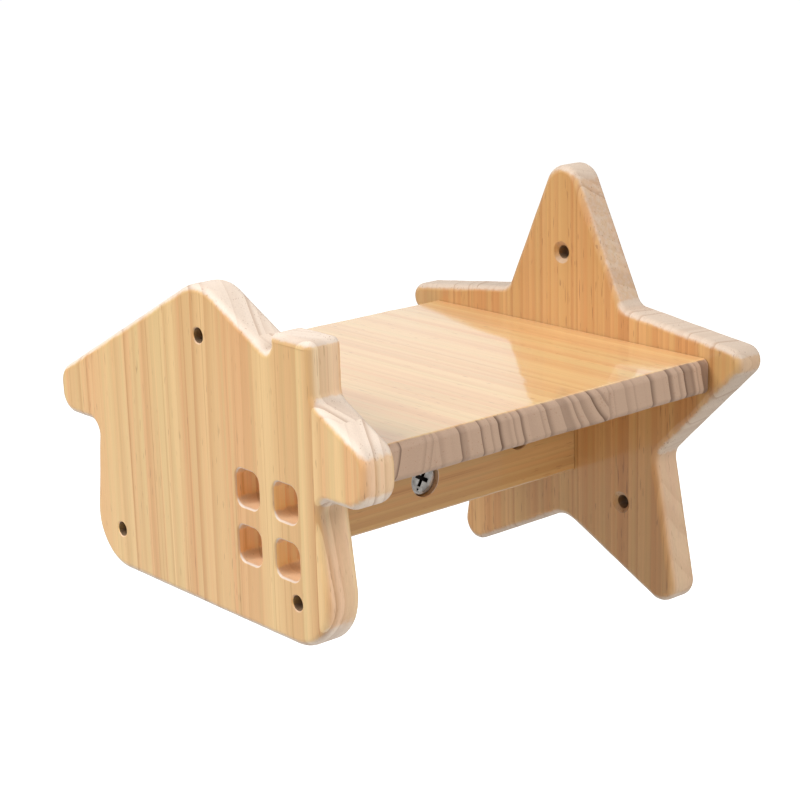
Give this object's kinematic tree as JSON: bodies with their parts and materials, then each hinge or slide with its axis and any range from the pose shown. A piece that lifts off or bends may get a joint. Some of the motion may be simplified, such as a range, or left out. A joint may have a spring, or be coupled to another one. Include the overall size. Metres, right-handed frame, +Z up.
{
  "type": "wall-mounted cat step",
  "caption": "Small pine cat step for a wall: a house-shaped panel and a star-shaped panel joined by a shelf board and a rail under it, held by cam locks and dowels.",
  "frame": {"origin": "on the back of the star panel, at its middle, level with the top of the shelf", "axes": "X along the wall, +Y out of the back of the star panel into the wall, +Z up"},
  "size_m": [0.2, 0.21, 0.1839],
  "materials": {
    "pine": "solid pine with a clear semi-gloss varnish",
    "beech": "bare, smooth",
    "zinc": "bright zinc casting",
    "steel": "zinc plated"
  },
  "bodies": {
    "frame": {"star_panel": "pine", "house_panel": "pine", "shelf_board": "pine", "support_rail": "pine", "star_cam_bolt": "steel", "house_cam_bolt": "steel", "shelf_cam_bolt": "steel", "house_dowel_left": "beech", "house_dowel_right": "beech", "star_dowel_left": "beech", "star_dowel_right": "beech"},
    "shelf_cam": {"shelf_cam_lock": "zinc"},
    "house_cam": {"house_cam_lock": "zinc"},
    "star_cam": {"star_cam_lock": "zinc"}
  },
  "joints": [
    {"name": "shelf_cam_turn", "type": "hinge", "parent": "frame", "child": "shelf_cam", "pos_m": [0, -0.103, -0.0485], "axis": [1, 0, 0], "range_deg": [0, 210]},
    {"name": "house_cam_turn", "type": "hinge", "parent": "frame", "child": "house_cam", "pos_m": [0, -0.1615, -0.03965], "axis": [1, 0, 0], "range_deg": [0, 210]},
    {"name": "star_cam_turn", "type": "hinge", "parent": "frame", "child": "star_cam", "pos_m": [0, -0.0485, -0.03965], "axis": [1, 0, 0], "range_deg": [0, 210]}
  ]
}
